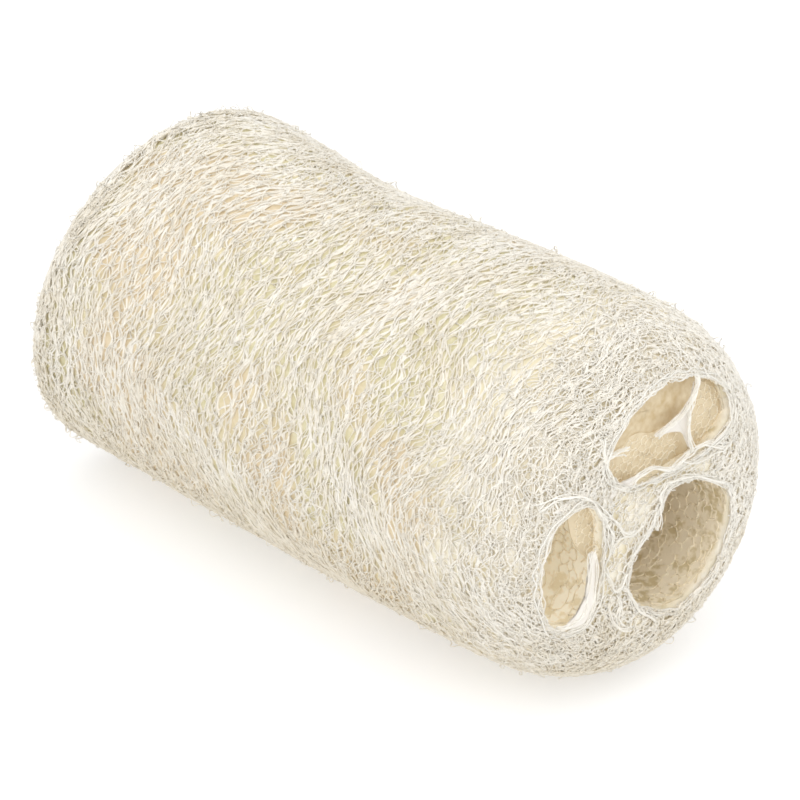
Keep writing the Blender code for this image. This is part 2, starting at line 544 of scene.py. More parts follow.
def lean_field(amplitude, shortest):
    """A smooth sideways shift shared by neighbouring strands."""
    s = np.arange(FIELD_ROWS)[:, None] * FIELD_STEP
    t = np.arange(FIELD_TURNS)[None, :] * 2 * math.pi / FIELD_TURNS
    total = np.zeros((FIELD_ROWS, FIELD_TURNS))
    for _ in range(LEAN_WAVES):
        along = RANDOM.uniform(-1, 1) * 2 * math.pi / shortest
        around = RANDOM.integers(-MOST_WAVES_ROUND, MOST_WAVES_ROUND + 1)
        total += np.cos(along * s + around * t + RANDOM.uniform(0, 2 * math.pi))
    return amplitude * total / math.sqrt(LEAN_WAVES / 2)


def field_shift(field, s, t):
    return bilinear(field, s / FIELD_STEP, t / (2 * math.pi) * FIELD_TURNS, wrap=True)


LEAN = lean_field(2.0 * MM, 36 * MM)
print("strands lean by up to", round(np.abs(LEAN).max() / MM, 2), "mm")

# %% [markdown]
# ## The outer net
#
# The outermost strands of a loofah run round the gourd. They wave from side to side, so that each one
# meets its neighbours again and again. Hoops closer together than a millimetre, bent round the gaps, with
# small waves of their own and a slow lean that they share, give that net. Thicker hoops a little deeper
# show through it as the pale strands of the next layer.

# %% Lay hoops round the sponge
OUTER_WAVES = [(0.45 * MM, 9 * MM, 30 * MM), (0.3 * MM, 3.5 * MM, 7.5 * MM)]
PLACE_JITTER = 0.35  # of the distance between hoops
DEPTH_SPREAD = 0.16 * MM
DEPTH_WAVES = [(0.6, 3 * MM, 10 * MM)]
SWELL = 0.12  # how much a strand's thickness changes along it
SWELL_WAVES = [(1, 4 * MM, 16 * MM)]
HOOP_THICKNESS = (0.75, 1.3)  # of a layer's own radius
MOUTH_MARGIN = 0.2 * MM  # a hoop stops this far outside a channel's mouth
# All in millimetres. from and to are lengths along the skin from the middle of the far and the near cut.
LAYERS = {
    "hoops": {"spacing": 0.66, "depth": 0.24, "radius": 0.12, "step": 1.15, "from": 29, "to": 31},
    "deep_hoops": {"spacing": 0.86, "depth": 0.62, "radius": 0.3, "step": 1.5, "from": 28, "to": 14},
}


def hoop_places(spacing, first, last):
    places = np.arange(first, last, spacing)
    return places + RANDOM.uniform(-PLACE_JITTER, PLACE_JITTER, len(places)) * spacing


def hoops(name, places, layer):
    """Closed strands round the sponge, one through each of the places along the skin."""
    count, steps = len(places), int(GIRTH / (layer["step"] * MM))
    t = np.linspace(0, 2 * math.pi, steps, endpoint=False)[None, :] + np.zeros((count, 1))
    s = places[:, None] + waves(count, steps, GIRTH, OUTER_WAVES)
    for field in (LEAN, PUSH):
        s = s + field_shift(field, s, t)
    rise_and_fall = np.clip(waves(count, steps, GIRTH, DEPTH_WAVES), -1, 1)
    points, normals = on_skin(s, t, layer["depth"] * MM + DEPTH_SPREAD * rise_and_fall)
    swell = 1 + SWELL * waves(count, steps, GIRTH, SWELL_WAVES)
    thickness = RANDOM.uniform(*HOOP_THICKNESS, (count, 1)) * (layer["radius"] * MM) * swell
    end = "near" if places[0] > MERIDIAN / 3 else "far"
    keep = clearance(end, points[..., 1], points[..., 2]) > MOUTH_MARGIN
    return tube_mesh(name, points, normals, thickness, keep=keep, closed=True)


nets = []
for name, layer in LAYERS.items():
    places = hoop_places(layer["spacing"] * MM, layer["from"] * MM, MERIDIAN - layer["to"] * MM)
    half = len(places) // 2
    nets.append(hoops(f"{name}_far", places[:half], layer))
    nets.append(hoops(f"{name}_near", places[half:], layer))

# %% [markdown]
# ## Curly fibres
#
# Where the gourd was cut the hoops have lost their hold, and the fibres there curl any way they like. They
# are drawn on flat maps, one for each end and one for the barrel, and the maps are then laid on the skin.

# %% Lay flat maps on the skin


def map_to_skin(part, east, north, depth):
    """Place a point of a flat map under the skin.

    An end's map is round, and its distances from the middle are lengths along the skin. The barrel's map
    is unrolled, with east along the sponge and north round it."""
    if part == "barrel":
        return on_skin(east, north / BARREL_RADIUS, depth)
    out = np.hypot(east, north)
    s = MERIDIAN - out if part == "near" else out
    return on_skin(s, np.arctan2(north, east), depth)


def gap_to_channel(part, points):
    end = "far" if part == "far" else "near"
    return clearance(end, points[..., 1], points[..., 2])


start, _ = map_to_skin("barrel", np.array([MERIDIAN / 2]), np.zeros(1), np.zeros(1))
print("half way along, the barrel's map starts at", [round(v / MM, 1) for v in start[0]], "mm")

# %% [markdown]
# Each curl is walked step by step over its map with a heading that keeps changing. Close to a seed channel
# the heading turns along its mouth, because the fibres there grew round the seeds.

# %% Walk over a map
CURL_STEP = 0.6 * MM
SHORTEST_BEND = 3.5 * MM
LONGEST_BEND = 9 * MM
FOLLOW_REACH = 1.6 * MM  # a fibre this close to a mouth has mostly turned along it


def along_mouth(part, east, north, heading):
    """The turn that would bring each heading along the nearest mouth, and how far off that mouth is."""
    place, _ = map_to_skin(part, east, north, np.zeros(len(east)))
    gap = gap_to_channel(part, place)
    rise_y = gap_to_channel(part, place + [0, CLEARANCE_CELL, 0]) - gap
    rise_z = gap_to_channel(part, place + [0, 0, CLEARANCE_CELL]) - gap
    edge = np.arctan2(rise_z, rise_y) + math.pi / 2
    return (edge - heading + math.pi / 2) % math.pi - math.pi / 2, gap


def walk(part, east, north, heading, steps, bend, follow):
    """Paths over a map: each path's heading is its start heading, plus a wave, plus what it follows."""
    swing = waves(len(east), steps, steps * CURL_STEP, [(bend, SHORTEST_BEND, LONGEST_BEND)])
    trail = []
    for k in range(steps):
        if follow:
            turn, gap = along_mouth(part, east, north, heading)
            heading = heading + turn * follow * np.exp(-((gap / FOLLOW_REACH) ** 2))
        trail.append((east, north))
        east = east + np.cos(heading + swing[:, k]) * CURL_STEP
        north = north + np.sin(heading + swing[:, k]) * CURL_STEP
    trail = np.array(trail)
    return trail[:, 0].T, trail[:, 1].T


print("a curl bends over", SHORTEST_BEND / MM, "to", LONGEST_BEND / MM, "mm")

# %% [markdown]
# A slack fibre is held at both ends and rises in between. So a curl's depth is a random one, with a small
# wave, less a `rise` that is nothing at its ends and most at its middle.

# %% Make curls
CURL_MARGIN = 0.15 * MM
HEADING_SPREAD = 0.75  # radians: on the barrel, curls set out roughly round the sponge
CURL_DEPTH_WAVES = [(0.1 * MM, 4 * MM, 12 * MM)]
CURL_THICKNESS = (0.75, 1.35)
LEAST_RISE = 0.2  # the flattest curl rises by this share of the most


def curls(name, part, count, zone, steps, depth, radius, bend, follow=0.35, rise=0.0):
    """A mesh of count curly fibres. zone, depth, radius and rise are in millimetres.

    zone says where the fibres start: between two distances from the middle of a cut end or, on the barrel,
    so far along the skin from the middles of the far and the near cut."""
    inner, outer = zone[0] * MM, zone[1] * MM
    if part == "barrel":
        east = RANDOM.uniform(inner, MERIDIAN - outer, count)
        north = RANDOM.uniform(0, GIRTH, count)
        heading = RANDOM.normal(math.pi / 2, HEADING_SPREAD, count)
    else:
        out = np.sqrt(RANDOM.uniform(inner**2, outer**2, count))
        turn = RANDOM.uniform(0, 2 * math.pi, count)
        east, north = out * np.cos(turn), out * np.sin(turn)
        heading = RANDOM.uniform(0, 2 * math.pi, count)
    east, north = walk(part, east, north, heading, steps, bend, follow)
    sunk = RANDOM.uniform(depth[0] * MM, depth[1] * MM, (count, 1))
    sunk = sunk + waves(count, steps, steps * CURL_STEP, CURL_DEPTH_WAVES)
    share = RANDOM.uniform(LEAST_RISE, 1, (count, 1))
    sunk = sunk - rise * MM * share * np.sin(np.linspace(0, math.pi, steps)) ** 2
    points, normals = map_to_skin(part, east, north, sunk)
    keep = gap_to_channel(part, points) > CURL_MARGIN
    thickness = RANDOM.uniform(*CURL_THICKNESS, (count, 1)) * (radius * MM) * np.ones((1, steps))
    return tube_mesh(name, points, normals, thickness, keep=keep)


print("curls stop", CURL_MARGIN / MM, "mm outside a mouth")

# %% [markdown]
# ## Joined nets
#
# Fibres that crossed while the gourd grew have fused, three at a joint. Such a net comes from points
# scattered over a map: the points are joined into triangles, the middles of neighbouring triangles are
# joined in turn, and every joint then has three strands.

# %% Join scattered points
POINT_JITTER = 0.42  # of the distance between points
SAME_POINT_MM = 1e-5
LONGEST_STRAND = 3  # in usual strands: a longer one belongs to the ragged border of the map


def scatter(width, height, cell_east, cell_north):
    """Points set out like bricks over a map, each moved at random."""
    rows, columns = max(round(width / cell_east), 1), max(round(height / cell_north), 1)
    row, column = np.meshgrid(np.arange(rows), np.arange(columns), indexing="ij")
    shift_east = RANDOM.uniform(-POINT_JITTER, POINT_JITTER, row.shape)
    shift_north = RANDOM.uniform(-POINT_JITTER, POINT_JITTER, row.shape)
    east = (row + 0.5 + shift_east) * width / rows
    north = (column + 0.5 * (row % 2) + shift_north) * height / columns
    return np.stack([east.reshape(-1), north.reshape(-1)], 1)


def joints(points, stretch):
    """Start and end of each strand, the joints there, and their number. stretch makes cells longer north."""
    flat = [Vector((float(east), float(north) / stretch)) / MM for east, north in points]
    corners = delaunay_2d_cdt(flat, [], [], 0, SAME_POINT_MM)[2]
    middles = np.array([points[corner].mean(axis=0) for corner in corners])
    neighbour = {}
    pairs = []
    for number, corner in enumerate(corners):
        for k in range(3):
            side = tuple(sorted((corner[k], corner[(k + 1) % 3])))
            if side in neighbour:
                pairs.append((neighbour[side], number))
            else:
                neighbour[side] = number
    pairs = np.array(pairs)
    start, end = middles[pairs[:, 0]], middles[pairs[:, 1]]
    length = np.linalg.norm((end - start) / [1, stretch], axis=1)
    short = length < LONGEST_STRAND * np.median(length)
    return start[short], end[short], pairs[short], len(middles)


print("every joint of a net has three strands")

# %% [markdown]
# Each strand bows a little and is thin half way and thick at its joints, like wet threads that dried
# together. A net round the sponge has to close on itself: the points near each edge of its map are copied
# beyond the other edge, and the strands whose middles lie outside the map are dropped.

# %% Shape the strands of a net
SEAM_OVERLAP_MM = 5
DEPTH_WAVE = 2.4  # how far the wave of depths goes on from one joint's number to the next, in radians
BOW = 0.16  # usual bow of a strand, as a share of its length
STRAND_THICKNESS = (0.7, 1.3)
MIDDLE_THICKNESS = 0.8  # half way along, of the net's own radius
JOINT_SWELL = 0.75  # how much is added to that at the joints


def net_strands(points, stretch, depth, radius, steps=3, around=None):
    """Map places, depths and radii along the strands. around is the width of a map that closes on itself."""
    if around:
        margin = SEAM_OVERLAP_MM * stretch * MM
        above = points[points[:, 1] > around - margin] - [0, around]
        below = points[points[:, 1] < margin] + [0, around]
        points = np.concatenate([points, above, below])
    start, end, pairs, count = joints(points, stretch)
    share = RANDOM.uniform(0, 1, count)
    if around:
        share = np.sin(start[:, 0].mean() + np.arange(count) * DEPTH_WAVE) * 0.5 + 0.5
        middle = (start + end)[:, 1] / 2
        inside = (middle >= 0) & (middle < around)
        start, end, pairs = start[inside], end[inside], pairs[inside]
    joint_depth = depth[0] + (depth[1] - depth[0]) * share
    along = np.linspace(0, 1, steps)
    span = end - start
    across = np.stack([-span[:, 1], span[:, 0]], 1)
    curve = np.sin(along * math.pi) * RANDOM.normal(0, BOW, (len(span), 1))
    place = start[:, None] + span[:, None] * along[:, None] + across[:, None] * curve[..., None]
    sunk = joint_depth[pairs[:, 0], None] * (1 - along) + joint_depth[pairs[:, 1], None] * along
    swell = MIDDLE_THICKNESS + JOINT_SWELL * (2 * along - 1) ** 2
    thickness = radius * RANDOM.uniform(*STRAND_THICKNESS, (len(span), 1)) * swell
    return place, sunk, thickness


print("a strand bows by", BOW, "of its length")

# %% [markdown]
# The barrel gets such a net among its hoops, with cells longer round the sponge than along it, moved
# by the same gaps and lean as the hoops. Each cut end gets two, one behind the other: on the real one the
# face between the channels is a felt of fine joined fibres.

# %% Lay joined nets on the barrel and the ends
BARREL_CELL = (2.35 * MM, 3.7 * MM)
BARREL_NET_DEPTH = (0.15 * MM, 0.55 * MM)
BARREL_NET_RADIUS = 0.115 * MM
SEAM = MERIDIAN / 2 - 4 * MM  # the far half of the barrel's net meets the near half here
SEAM_SLACK = 1 * MM
END_NET_WIDTH = 66 * MM
END_NET_MARGIN = 0.1 * MM


def barrel_net(name, first, last):
    points = scatter(last - first, GIRTH, *BARREL_CELL)
    stretch = BARREL_CELL[1] / BARREL_CELL[0]
    place, sunk, thickness = net_strands(points, stretch, BARREL_NET_DEPTH, BARREL_NET_RADIUS, around=GIRTH)
    east = place[..., 0] + first
    turn = place[..., 1] / BARREL_RADIUS
    for field in (LEAN, PUSH):
        east = east + field_shift(field, east, turn)
    lines, normals = on_skin(east, turn, sunk)
    keep = (east > first - SEAM_SLACK) & (gap_to_channel("near", lines) > MOUTH_MARGIN)
    return tube_mesh(name, lines, normals, thickness, keep=keep)


def end_net(name, end, cell, depth, radius):
    """A joined net over the face of a cut end, left out of the channel mouths."""
    points = scatter(END_NET_WIDTH, END_NET_WIDTH, cell, cell) - END_NET_WIDTH / 2
    place, sunk, thickness = net_strands(points, 1.0, depth, radius, steps=4)
    lines, normals = map_to_skin(end, place[..., 0], place[..., 1], sunk)
    keep = gap_to_channel(end, lines) > END_NET_MARGIN
    keep &= (np.hypot(place[..., 0], place[..., 1]).max(axis=1) < END_NET_WIDTH / 2)[:, None]
    return tube_mesh(name, lines, normals, thickness, keep=keep)


joined = [
    barrel_net("joined_net_far", 30 * MM, SEAM),
    barrel_net("joined_net_near", SEAM, MERIDIAN - 38 * MM),
    end_net("web_front", "near", 2.2 * MM, (0.05 * MM, 0.5 * MM), 0.11 * MM),
    end_net("web_middle", "near", 1.9 * MM, (0.35 * MM, 0.8 * MM), 0.13 * MM),
    end_net("web_far", "far", 2.3 * MM, (0.05 * MM, 0.5 * MM), 0.13 * MM),
    end_net("web_far_back", "far", 2.6 * MM, (0.5 * MM, 0.95 * MM), 0.18 * MM),
]

# %% [markdown]
# ## Curls over the rims and loose fibres
#
# The near rim is a thick felt of curls, so it gets the most: one lot over the rim and one over the edge
# towards the barrel. Fewer lie on the face between the channels and over the far end. On the barrel some
# fibres have come loose and lie over the hoops, and a few stray ones stand well clear of them.

# %% Add the curly fibres
ends = [
    curls("rim_curls_near", "near", 1180, (21, 40), 12, (0.2, 0.36), 0.1, bend=0.95),
    curls("rim_edge_curls", "near", 440, (37, 56), 12, (0.16, 0.34), 0.1, bend=0.8),
    curls("web_curls_near", "near", 380, (0, 27), 11, (0.1, 0.7), 0.1, bend=0.85),
    curls("curls_far", "far", 600, (0, 38), 12, (0.1, 0.5), 0.12, bend=0.8),
    curls("loose_fibres", "barrel", 330, (30, 40), 11, (0.0, 0.3), 0.09, bend=0.7, follow=0, rise=0.4),
    curls("stray_fibres", "barrel", 70, (28, 36), 11, (0.1, 0.3), 0.07, bend=0.9, follow=0, rise=1.5),
]

# %% [markdown]
# ## Edges of the channel mouths
#
# Each mouth has a pale edge: many fibres run round it side by side. They are rings that follow the
# measured wall, a little outside it and a little behind one another.

# %% Lay edge fibres round the mouths
EDGE_STEPS = 96
EDGE_WIDTH = (0.3 * MM, 1.4 * MM)
EDGE_DEPTH = 0.8 * MM
EDGE_RADIUS_MM = (0.1, 0.17)
EDGE_WIDTH_WAVES = [(0.2 * MM, 4 * MM, 15 * MM)]
EDGE_DEPTH_WAVES = [(0.15 * MM, 5 * MM, 15 * MM)]


def edge_rings(end, count):
    turn = np.linspace(0, 2 * math.pi, EDGE_STEPS, endpoint=False)[None, :] + np.zeros((count, 1))
    lines = []
    for channel in CHANNELS.values():
        girth = 2 * math.pi * channel["walls"].mean()
        out = RANDOM.uniform(*EDGE_WIDTH, (count, 1))
        out = out + waves(count, EDGE_STEPS, girth, EDGE_WIDTH_WAVES)
        place = wall_place(channel, np.full((count, EDGE_STEPS), MOUTH_X[end]), turn, -out)
        depth = RANDOM.uniform(0.0, EDGE_DEPTH, (count, 1))
        depth = depth + waves(count, EDGE_STEPS, girth, EDGE_DEPTH_WAVES)
        lines.append(on_end(end, place[..., 1], place[..., 2], depth))
    lines = np.concatenate(lines)
    thickness = RANDOM.uniform(*EDGE_RADIUS_MM, (len(lines), 1)) * MM * np.ones((1, EDGE_STEPS))
    return tube_mesh(f"mouth_edges_{end}", lines, end_normals(end, lines), thickness, closed=True)


ends += [edge_rings("near", 9), edge_rings("far", 6)]

# %% [markdown]
# ## Cords and skins between the channels
#
# The thickest parts of a loofah are the cords where the walls of two channels meet. On this one they show
# as white lines: one forks inside the upper mouth, and one stands out from the wall of the left one. A
# cord here is a bundle of fibres that share one path. The paths are given as places right of and above the
# axis, in millimetres.

# %% List the cords
CORDS = [
    # The two arms of the fork in the upper mouth.
    [(10.3, 25.4), (9.9, 23.7), (8.2, 21.8), (7.4, 19.6), (7.3, 16.4), (8.1, 12.9), (9, 10.3)],
    [(10.3, 25.4), (9.9, 23.7), (8, 21.9), (6.1, 19.8), (3.5, 18.6), (-0.2, 17.2)],
    # The lower edge of the upper mouth, with a second cord beside its right half.
    [(-11.5, 12.5), (-7.8, 9.3), (-5.1, 10.6), (-1, 10.9), (3.8, 8.8), (7.9, 10.2), (12.1, 10.7),
     (17.3, 8.2)],
    [(6.4, 9.4), (10.9, 7.7), (15.1, 8), (18.5, 8.6)],
    # The upper edge of the right mouth.
    [(0.4, -2.4), (1.3, 1.3), (1.4, 4.8), (3.0, 6.2), (6.7, 5.8), (11, 4.5), (17.9, 0.6)],
    # The left edge of the upper mouth, and a short cord that crosses it.
    [(-13.6, 22), (-13.9, 19.2), (-13.6, 16.5), (-12.2, 14), (-11.1, 11.1)],
    [(-14.6, 17.6), (-13.4, 18.1), (-11.4, 18.3), (-8.3, 18)],
    # Over the top of the left mouth and down its right side, with branches towards the right mouth.
    [(-26.9, 11.5), (-23, 13.5), (-18.7, 12.2), (-15.3, 8.2), (-13.1, 4.9), (-11.6, 1.8), (-11.2, -2.3)],
    [(-14.8, 8), (-12, 5.5), (-9.4, 2.5), (-8, 0.3), (-5.2, -0.8)],
    [(-10.9, -0.9), (-8, -0.3), (-5.2, -0.8), (-3, 0.1)],
    # The two edges of the fold that stands out from the wall of the left channel.
    [(-16.6, 0.2), (-17, -3), (-17.3, -6.8), (-17.9, -9.6), (-19.4, -11.6), (-21.7, -12.6), (-24, -12.7)],
    [(-16.2, 0.2), (-15.5, -3), (-15.7, -8), (-16.7, -11.4), (-18, -13), (-20.5, -13.8), (-23, -13.8)],
    # The lower left edge of the right mouth, and the small loops between it and the left mouth.
    [(-8.2, -10.4), (-6.3, -12.6), (-4, -17), (0.1, -20.6)],
    [(-10.5, -11.3), (-11.9, -13.2), (-11.2, -16.1), (-9, -18.6), (-6.2, -19.6)],
    [(-9.6, -11.2), (-8.8, -13.9), (-9.5, -16), (-8.7, -18.5)],
    [(-12.9, -4.6), (-11.6, -7.4), (-10.2, -10.4), (-8.4, -10.2), (-6.9, -8.2)],
]
PATH_END = 1.0001  # keeps the end of a path just short of its last corner


def smooth_path(corners, steps):
    """Places on a smooth line through the corners, in metres, with as many steps from each to the next."""
    corners = np.array(corners) * MM
    padded = np.concatenate([2 * corners[:1] - corners[1:2], corners, 2 * corners[-1:] - corners[-2:-1]])
    at = np.linspace(0, len(corners) - PATH_END, steps)
    k, u = at.astype(int), (at % 1)[:, None]
    a, b, c, d = (padded[k + j] for j in range(4))
    return (2 * b + (c - a) * u + (2 * a - 5 * b + 4 * c - d) * u**2 + (3 * b - a - 3 * c + d) * u**3) / 2


print(len(CORDS), "cords")

# %% [markdown]
# The fibres of a cord lie close together along its middle and flare at its ends, where they pass into the
# felt round the mouths. They have four sides instead of three, because they stand out white against the
# mouths.

# %% Draw the cords
CORD_STEPS = 32
FIBRES_IN_CORD = 8
CORD_HALF_WIDTH = 0.16 * MM
CORD_DEPTH = 0.6 * MM
CORD_RADIUS_MM = (0.08, 0.15)
CORD_WIDTH_WAVES = [(0.1 * MM, 4 * MM, 12 * MM)]
CORD_DEPTH_WAVES = [(0.15 * MM, 4 * MM, 12 * MM)]
END_FLARE = 2.2  # how much wider a cord is at its ends, in widths of its middle


def cords(end):
    lines = []
    for corners in CORDS:
        path = smooth_path(corners, CORD_STEPS)
        length = np.linalg.norm(np.diff(path, axis=0), axis=1).sum()
        tangent = unit(np.gradient(path, axis=0))
        across = np.stack([-tangent[:, 1], tangent[:, 0]], 1)
        flare = 1 + END_FLARE * np.abs(np.linspace(-1, 1, CORD_STEPS)) ** 4
        out = RANDOM.normal(0, CORD_HALF_WIDTH, (FIBRES_IN_CORD, 1)) * flare
        out = out + waves(FIBRES_IN_CORD, CORD_STEPS, length, CORD_WIDTH_WAVES)
        depth = RANDOM.uniform(0.0, CORD_DEPTH, (FIBRES_IN_CORD, 1))
        depth = depth + waves(FIBRES_IN_CORD, CORD_STEPS, length, CORD_DEPTH_WAVES)
        place = path + across * out[..., None]
        lines.append(on_end(end, place[..., 0], place[..., 1] + AXIS_HEIGHT, depth))
    lines = np.concatenate(lines)
    thickness = RANDOM.uniform(*CORD_RADIUS_MM, (len(lines), 1)) * MM * np.ones((1, CORD_STEPS))
    return tube_mesh(f"cords_{end}", lines, end_normals(end, lines), thickness, sides=4)


ends.append(cords("near"))

# %% [markdown]
# Between the cords there are thin skins: partitions of the fruit that dried like paper. A skin is a
# closed shell, a quarter of a millimetre thick: a smooth outline filled with rings of faces that sag
# towards the middle, and the same again behind. Its outline stays a sharp edge, so that it looks thin.

# %% Make skins
SKIN_RINGS = 7
SKIN_STEPS = 56
SKIN_THICKNESS = 0.25 * MM
INNER_RING = 0.02  # size of a skin's innermost ring, against its outline
SPAN_STEPS = 60
WRINKLE_LENGTH = 30 * MM  # a ring's length, as far as its wrinkles go
WRINKLES = [(0.06 * MM, 3 * MM, 10 * MM)]


def closed_path(corners, steps):
    """Places on a smooth closed line: it is drawn past its start at both ends, and the surplus is cut."""
    wrapped = corners[-2:] + corners + corners[:3]
    path = smooth_path(wrapped, SPAN_STEPS * (len(wrapped) - 1) + 1)
    path = path[2 * SPAN_STEPS : -3 * SPAN_STEPS]
    return path[(np.arange(steps) * len(path) / steps).astype(int)]


def skin_faces():
    """The faces of a skin: its front, its back, the narrow edge between them and their two last rings."""
    index = np.arange(SKIN_RINGS * SKIN_STEPS).reshape(SKIN_RINGS, SKIN_STEPS)
    after = np.roll(index, -1, 1)
    front = np.stack([index[:-1], after[:-1], after[1:], index[1:]], -1).reshape(-1, 4)
    edge = np.stack([index[0], index[0] + index.size, after[0] + index.size, after[0]], 1)
    back = front[:, ::-1] + index.size
    caps = np.stack([index[-1], (index[-1] + index.size)[::-1]])
    return [front, edge, back, caps]


def skin(name, depth, corners, sag, slope=0.0, tone=1.0):
    """A skin depth millimetres behind the cut. slope takes it deeper to the right; tone sets its colour."""
    outline = closed_path(corners, SKIN_STEPS)
    after = np.roll(outline, -1, 0)
    if (outline[:, 0] * after[:, 1] - after[:, 0] * outline[:, 1]).sum() < 0:
        outline = outline[::-1]
    middle = outline.mean(axis=0)
    ring = np.linspace(1, INNER_RING, SKIN_RINGS)[:, None, None]
    place = middle + (outline - middle) * ring
    wrinkle = waves(SKIN_RINGS, SKIN_STEPS, WRINKLE_LENGTH, WRINKLES)
    sunk = depth * MM + sag * (1 - ring[..., 0] ** 2) + wrinkle
    sunk = sunk + slope * (place[..., 0] - outline[:, 0].min())
    y, z = place[..., 0], place[..., 1] + AXIS_HEIGHT
    sheets = [on_end("near", y, z, sunk), on_end("near", y, z, sunk + SKIN_THICKNESS)]
    vertices = np.concatenate([sheet.reshape(-1, 3) for sheet in sheets])
    piece = link_mesh(name, vertices, skin_faces(), np.full(len(vertices), tone))
    on_outline = np.arange(len(vertices)) % (SKIN_RINGS * SKIN_STEPS) < SKIN_STEPS
    for side in piece.data.edges:
        side.use_edge_sharp = bool(on_outline[side.vertices[0]] and on_outline[side.vertices[1]])
    return piece


print("a skin has", SKIN_RINGS * SKIN_STEPS * 2, "vertices")

# %% [markdown]
# White skins fill the forks where three walls meet. Each is given by its depth behind the cut and its
# outline, both in millimetres.

# %% Stretch white skins between the cords
WHITE_SAG = 0.25 * MM
WHITE_SKINS = [
    # The roll over the top of the left mouth.
    (0.45, [(-25, 11), (-23.4, 12), (-21.7, 12.8), (-20.1, 13.3), (-17.5, 12.5), (-15.1, 9.8),
            (-13.4, 7), (-15.8, 8.9), (-18, 10.7), (-20.5, 11.7), (-22.3, 11.5), (-23.8, 11.1)]),
    # The lower left corner of the upper mouth.
    (0.25, [(-2.2, 10.9), (-7.5, 10.6), (-11.1, 12.4), (-13.6, 14.4), (-11.6, 11.1), (-12, 9.4),
            (-8.3, 9.5), (-5, 10)]),
    # The fold in the left mouth.
    (0.2, [(-16.7, 0.2), (-15.9, 0), (-15.4, -1.6), (-15.6, -4.7), (-15.8, -8), (-16.7, -11.1),
           (-17.9, -12.7), (-20.5, -13.4), (-23, -13.2), (-21.7, -12.5), (-19.9, -11.6),
           (-18.2, -9.8), (-17.4, -6.8), (-17.1, -3.9)]),
    # The fork in the upper mouth.
    (0.9, [(9.9, 23.9), (9.2, 22.6), (7.5, 21.2), (6.1, 19.8), (3.9, 18.8), (1.7, 18.1), (-0.4, 17.3),
           (0.3, 16.7), (3.4, 16.4), (6.2, 15.3), (7.7, 13.3), (8.6, 11.2), (7.9, 15.6), (7.8, 19.2),
           (8.7, 22)]),
]
white_skins = []
for number, (depth, corners) in enumerate(WHITE_SKINS):
    white_skins.append(skin(f"white_skin_{number}", depth, corners, WHITE_SAG))
print(len(white_skins), "white skins")

# %% [markdown]
# Tan skins close off the pockets a few millimetres in. Three share the upper mouth, and two of them slope
# a little inward to the right. The fourth covers the upper right of the left mouth. Each has a tone of its
# own, from 0 for the brownest to 1 for the palest.

# %% Stretch tan skins across the pockets
TAN_SAG = 0.1 * MM
# Depth in millimetres, slope, tone and outline.
TAN_SKINS = [
    # The upper half of the upper mouth.
    (2.0, 0.04, 0.0, [(-16.2, 20.8), (-14.9, 23.7), (-11.8, 26.2), (-7.9, 28.4), (-3.4, 29), (3, 28.6),
                      (9.5, 26.4), (12.4, 22.6), (12.3, 18.6), (9.4, 15.8), (3.6, 15.1), (-2.9, 16),
                      (-8.7, 16), (-13.8, 16)]),
    # Its lower left half, below the fork.
    (2.0, 0.04, 0.35, [(-12.5, 16.9), (-9.7, 17.3), (-7.1, 17.5), (-5.6, 18.5), (-3, 18.3), (0.7, 16.8),
                       (4.2, 17), (7.3, 16.8), (9.4, 15), (10.4, 10.4), (10.3, 7.6), (8.7, 6.2),
                       (5.2, 6.2), (1.6, 7.3), (-3.1, 6.9), (-5.5, 7.5), (-8.6, 9.5), (-12.4, 11),
                       (-14.5, 14)]),
    # The pocket right of the fork.
    (3.0, 0.0, 0.6, [(10.8, 23.5), (14.5, 24.5), (19.5, 21.5), (21.5, 17.8), (21.5, 14), (20, 9.5),
                     (16.9, 7.8), (12.5, 8.5), (9.2, 10.8), (8.2, 14.3), (9.2, 19.2)]),
    # The upper right of the left mouth.
    (3.0, 0.0, 1.0, [(-20.6, 9), (-17.3, 11), (-13.7, 9.6), (-10.2, 6.5), (-7.9, 2.5), (-7.5, -2),
                     (-8.8, -4.6), (-11.9, -4.6), (-15.1, -2.4), (-17.8, 0.9), (-19.6, 4.8)]),
]
tan_skins = []
for number, (depth, slope, tone, corners) in enumerate(TAN_SKINS):
    tan_skins.append(skin(f"tan_skin_{number}", depth, corners, TAN_SAG, slope, tone))
print(len(tan_skins), "tan skins")

# %% [markdown]
# Fine pale fibres run over a tan skin like veins on the back of a leaf. They are a joined net, cut to an
# outline and laid on the skin: every place of it moves to the nearest point of the surface.

# %% Lay nets on the tan skins
POCKET_CELL = 1.6 * MM
POCKET_RADIUS = 0.1 * MM
POCKET_DEPTH = (2 * MM, 2.5 * MM)  # about where the skins are, before the net is laid on one
POCKET_LIFT = 0.06 * MM
POCKET_STEPS = 72
SPARE_WIDTH = 1.2  # the net is scattered this much wider than its outline
# The number of a tan skin, and the outline of the net on it.
POCKETS = [
    (1, [(-10.1, 17.2), (-7.4, 17.4), (-5.2, 18.1), (-1.2, 17), (2.8, 15.9), (6.6, 14.6), (7.8, 13),
         (8, 9.8), (6.9, 8.6), (3, 8.2), (-1.2, 9), (-4, 9.6), (-7.4, 9.6), (-10, 10.4), (-11.4, 12.6)]),
    (2, [(10.3, 22.3), (13.5, 22.1), (17, 20.1), (18.6, 17.5), (18.8, 14.5), (18.4, 11), (16.1, 9.6),
         (13, 10), (10.6, 11.5), (9.6, 15), (9.8, 19)]),
    (3, [(-18.4, 7.4), (-16.7, 8.4), (-14.4, 7.6), (-11.8, 5.6), (-9.8, 2.6), (-9, -0.9), (-10, -3),
         (-12.5, -3.4), (-15, -1.9), (-17.6, 0.9), (-18.4, 4.3)]),
]


